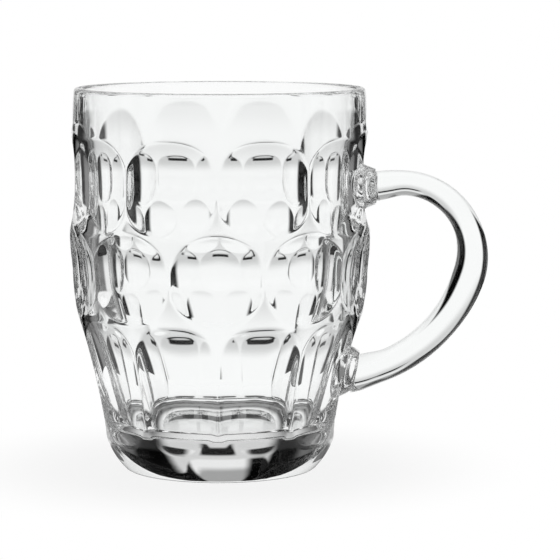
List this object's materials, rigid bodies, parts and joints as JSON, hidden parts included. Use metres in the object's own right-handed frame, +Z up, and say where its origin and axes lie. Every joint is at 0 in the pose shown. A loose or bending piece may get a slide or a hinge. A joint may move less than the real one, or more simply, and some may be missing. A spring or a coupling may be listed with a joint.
{
  "type": "beer mug",
  "caption": "Thick pressed-glass beer mug with staggered thumb dimples above long flutes, and a solid curved glass handle fused to raised seats.",
  "frame": {"origin": "centre of the foot, on the surface that the mug stands on", "axes": "+Z up along the axis of the cup, +X out through the middle of the handle, +Y across, so that the mug is the same on both sides of Y = 0"},
  "size_m": [0.1369, 0.0982, 0.125],
  "materials": {
    "body_glass": "clear pressed soda-lime glass, fire-polished",
    "handle_glass": "clear pressed soda-lime glass, solid, fire-polished"
  },
  "bodies": {
    "root": {"mug_body": "body_glass", "handle": "handle_glass"}
  },
  "joints": []
}
